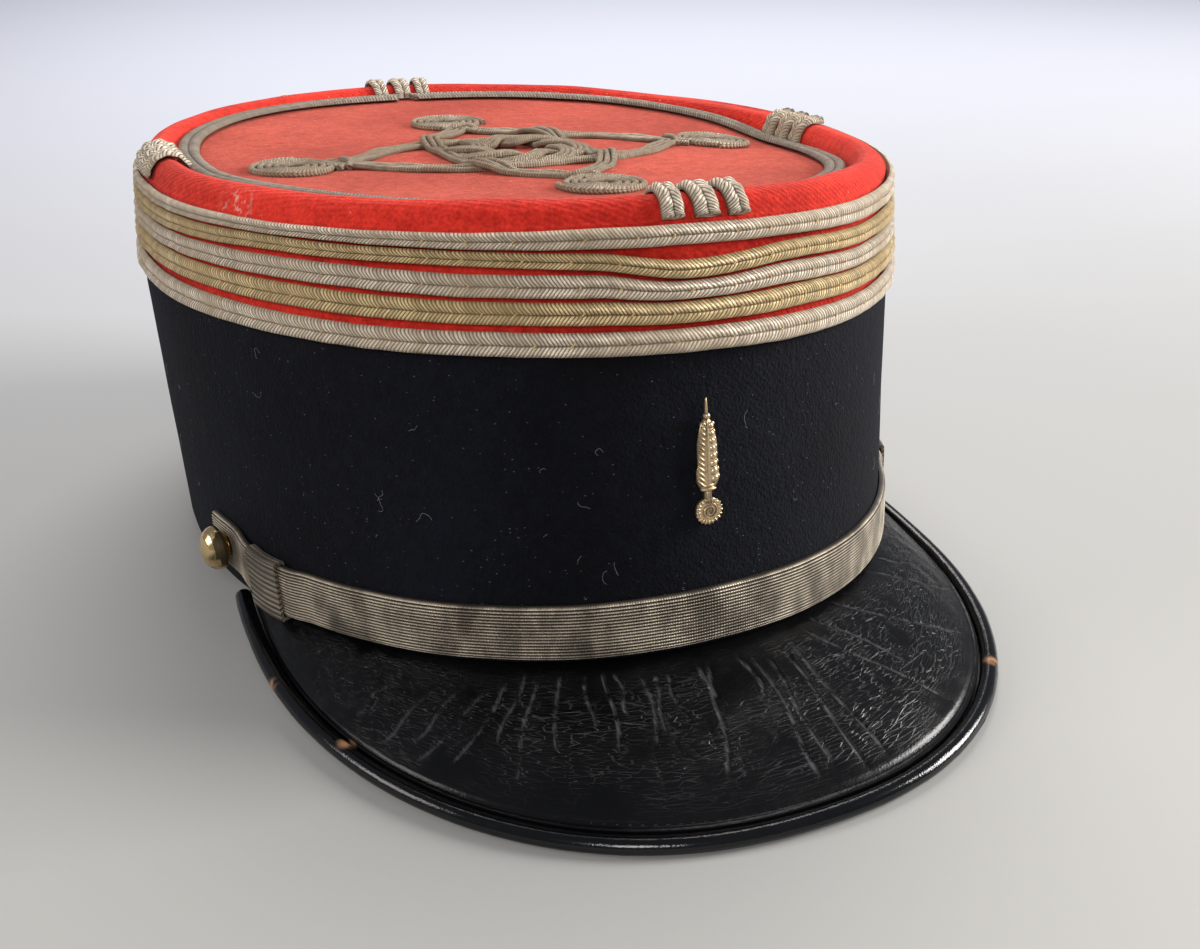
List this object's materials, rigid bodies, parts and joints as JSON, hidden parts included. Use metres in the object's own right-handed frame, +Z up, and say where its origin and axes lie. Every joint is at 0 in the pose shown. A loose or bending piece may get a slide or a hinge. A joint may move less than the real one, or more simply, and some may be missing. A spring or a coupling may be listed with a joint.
{
  "type": "kepi cap",
  "caption": "Stiff-banded kepi cap with a peak, a padded crown rim round a sunken top, braid rows, a cord knot, a badge and a false chin strap.",
  "frame": {"origin": "middle of the footprint, on the surface the cap rests on", "axes": "+Z up, +Y towards the back of the cap (the peak points along -Y), +X towards the viewer's right when the cap is seen from the front"},
  "size_m": [0.1762, 0.2542, 0.1059],
  "materials": {
    "navy_wool": "thick dark navy wool felt, with lint",
    "red_cloth": "red wool cloth, slightly fuzzy, faded on top",
    "silver_braid": "tarnished silver-coloured metallic braid",
    "gold_braid": "dull gold-coloured metallic braid",
    "strap_braid": "ribbed tarnished metallic braid",
    "keeper_braid": "dark tarnished braid",
    "button_brass": "polished brass with dark tarnish",
    "badge_metal": "cast brass, worn and tarnished",
    "peak_leather": "creased black leather with a dull gloss",
    "rim_leather": "smooth black leather, glossy"
  },
  "bodies": {
    "root": {"band_wall": "navy_wool", "crown": "red_cloth", "galon_1": "silver_braid", "galon_2": "gold_braid", "galon_3": "silver_braid", "galon_4": "gold_braid", "galon_5": "silver_braid", "top_edge_braid": "silver_braid", "crown_knot": "silver_braid", "front_loop_1": "silver_braid", "front_loop_2": "silver_braid", "front_loop_3": "silver_braid", "back_loop_1": "silver_braid", "back_loop_2": "silver_braid", "back_loop_3": "silver_braid", "left_loop_1": "silver_braid", "left_loop_2": "silver_braid", "left_loop_3": "silver_braid", "right_loop_1": "silver_braid", "right_loop_2": "silver_braid", "right_loop_3": "silver_braid", "badge": "badge_metal", "chin_strap": "strap_braid", "left_keeper": "keeper_braid", "left_button": "button_brass", "right_keeper": "keeper_braid", "right_button": "button_brass", "peak": "peak_leather", "peak_binding": "rim_leather"}
  },
  "joints": []
}
